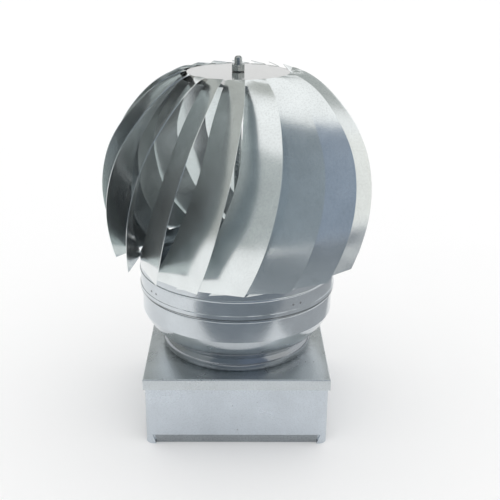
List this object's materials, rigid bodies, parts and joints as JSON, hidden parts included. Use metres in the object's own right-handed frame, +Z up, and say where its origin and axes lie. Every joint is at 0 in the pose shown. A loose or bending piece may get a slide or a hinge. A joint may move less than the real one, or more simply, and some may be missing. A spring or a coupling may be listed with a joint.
{
  "type": "roof turbine ventilator",
  "caption": "Wind-driven roof ventilator: a globe of curved sheet blades spins on a shaft above a round drum, neck and square flanged base.",
  "frame": {"origin": "centre of the square opening at the bottom of the mounting skirt", "axes": "+Z up along the shaft, -Y to the front face of the skirt, +X to its right"},
  "size_m": [0.2932, 0.291, 0.4043],
  "materials": {
    "base_sheet": "galvanised sheet",
    "rotor_sheet": "galvanised sheet",
    "blade_sheet": "galvanised sheet, semi-gloss",
    "bracket_steel": "galvanised strip",
    "housing_steel": "turned steel",
    "bearing_steel": "polished bearing steel",
    "cage_brass": "machined brass",
    "spring_steel": "blackened spring steel",
    "zinc_hardware": "zinc plated"
  },
  "bodies": {
    "base": {"mounting_skirt": "base_sheet", "cap_plate": "base_sheet", "neck_collar": "base_sheet", "fixed_drum": "base_sheet", "lower_star_bracket": "bracket_steel", "upper_star_bracket": "bracket_steel", "bearing_housing": "housing_steel", "lower_outer_race": "bearing_steel", "upper_outer_race": "bearing_steel", "lower_retaining_ring": "spring_steel", "upper_retaining_ring": "spring_steel"},
    "rotor": {"rotor_shaft": "zinc_hardware", "lower_inner_race": "bearing_steel", "upper_inner_race": "bearing_steel", "lower_spacer": "zinc_hardware", "bearing_spacer": "zinc_hardware", "upper_spacer": "zinc_hardware", "lower_lock_nut": "zinc_hardware", "brace_lower_nut": "zinc_hardware", "brace_lower_washer": "zinc_hardware", "brace_upper_washer": "zinc_hardware", "brace_upper_nut": "zinc_hardware", "cap_lower_nut": "zinc_hardware", "cap_lower_washer": "zinc_hardware", "cap_lock_washer": "zinc_hardware", "cap_upper_nut": "zinc_hardware", "top_cap": "rotor_sheet", "rotor_ring": "rotor_sheet", "rotor_brace": "bracket_steel", "blade_01": "blade_sheet", "blade_02": "blade_sheet", "blade_03": "blade_sheet", "blade_04": "blade_sheet", "blade_05": "blade_sheet", "blade_06": "blade_sheet", "blade_07": "blade_sheet", "blade_08": "blade_sheet", "blade_09": "blade_sheet", "blade_10": "blade_sheet", "blade_11": "blade_sheet", "blade_12": "blade_sheet", "blade_13": "blade_sheet", "blade_14": "blade_sheet", "blade_15": "blade_sheet", "blade_16": "blade_sheet", "blade_17": "blade_sheet", "blade_18": "blade_sheet"},
    "lower_balls": {"lower_bearing_balls": "bearing_steel", "lower_ball_cage": "cage_brass"},
    "upper_balls": {"upper_bearing_balls": "bearing_steel", "upper_ball_cage": "cage_brass"}
  },
  "joints": [
    {"name": "rotor_spin", "type": "hinge", "parent": "base", "child": "rotor", "pos_m": [0, 0, 0.25], "axis": [0, 0, 1], "continuous": true},
    {"name": "lower_cage_spin", "type": "hinge", "parent": "base", "child": "lower_balls", "pos_m": [0, 0, 0.09], "axis": [0, 0, 1], "continuous": true},
    {"name": "upper_cage_spin", "type": "hinge", "parent": "base", "child": "upper_balls", "pos_m": [0, 0, 0.145], "axis": [0, 0, 1], "continuous": true}
  ],
  "couplings": [
    {"joint": "lower_cage_spin", "follows": "rotor_spin", "ratio": 0.3677},
    {"joint": "upper_cage_spin", "follows": "rotor_spin", "ratio": 0.3677}
  ]
}
